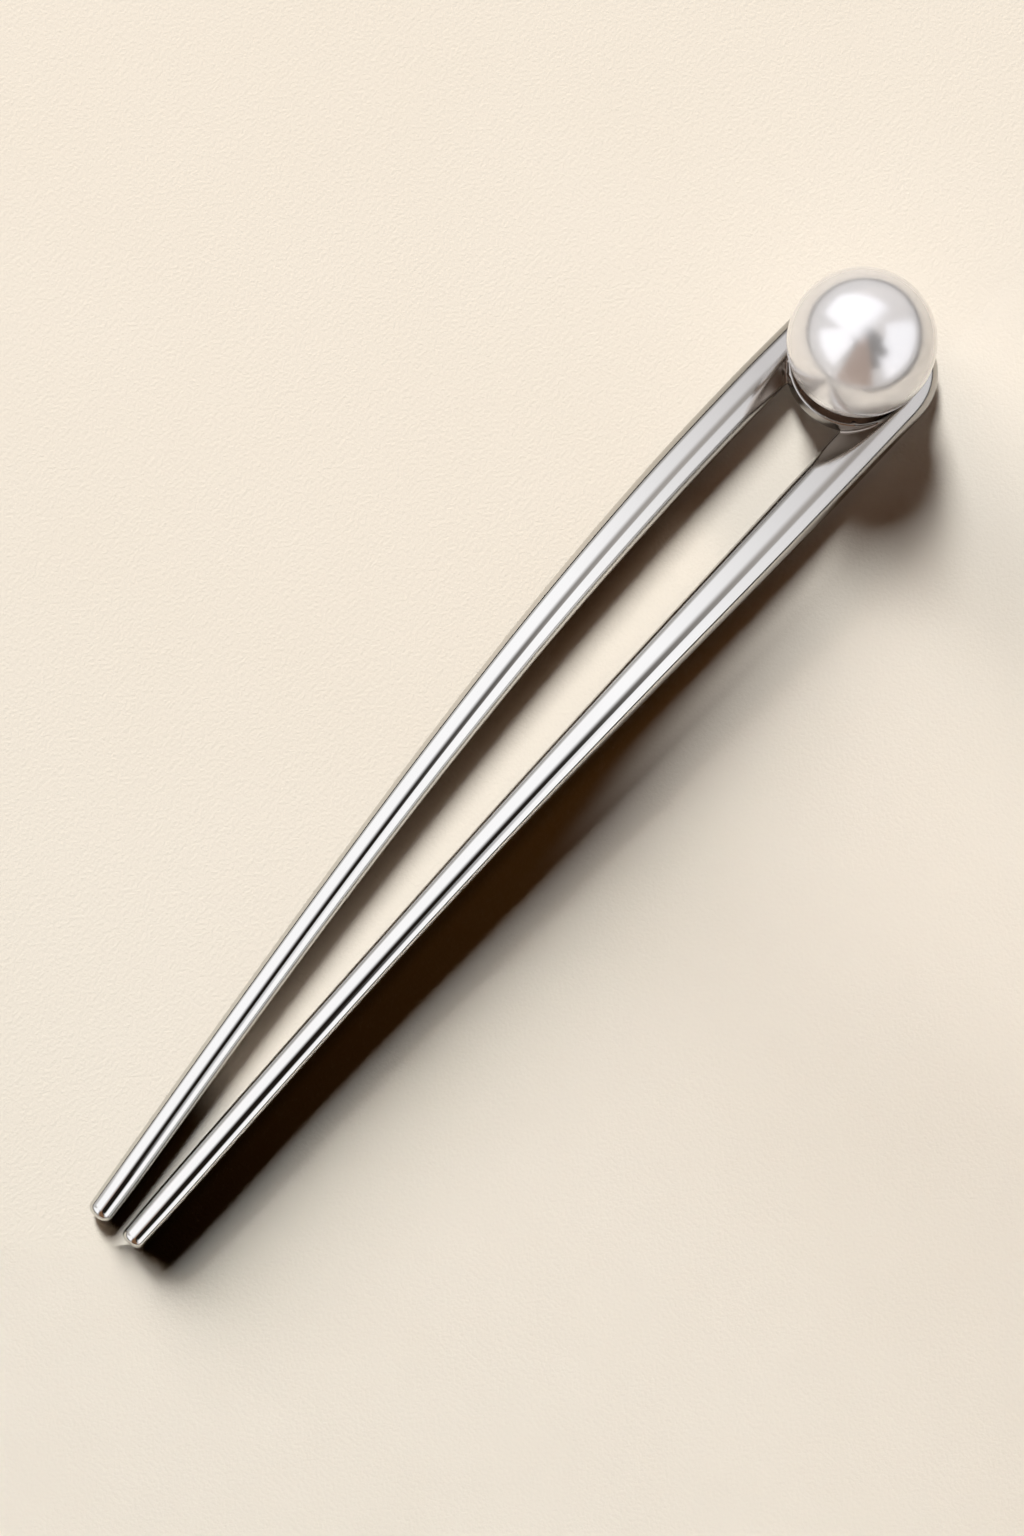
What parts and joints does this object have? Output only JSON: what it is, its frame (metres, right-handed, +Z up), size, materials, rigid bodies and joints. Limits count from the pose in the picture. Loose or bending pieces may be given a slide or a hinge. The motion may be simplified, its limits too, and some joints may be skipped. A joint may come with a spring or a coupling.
{
  "type": "u-shaped hairpin",
  "caption": "U-shaped hairpin of polished silver-tone metal: tapering prongs that bow outwards, hollows carved in the bend, and a large round pearl on a shallow seat dish.",
  "frame": {"origin": "on the table that the pin lies on, under the middle of its box", "axes": "+X runs from the tips to the bend, +Y towards the left prong, +Z up from the table"},
  "size_m": [0.1142, 0.0166, 0.017],
  "materials": {
    "silver_tone": "polished, with faint fine scratches",
    "pearl": "satin nacre lustre, warm cream with a cool sheen"
  },
  "bodies": {
    "root": {"fork": "silver_tone", "pearl": "pearl"}
  },
  "joints": []
}
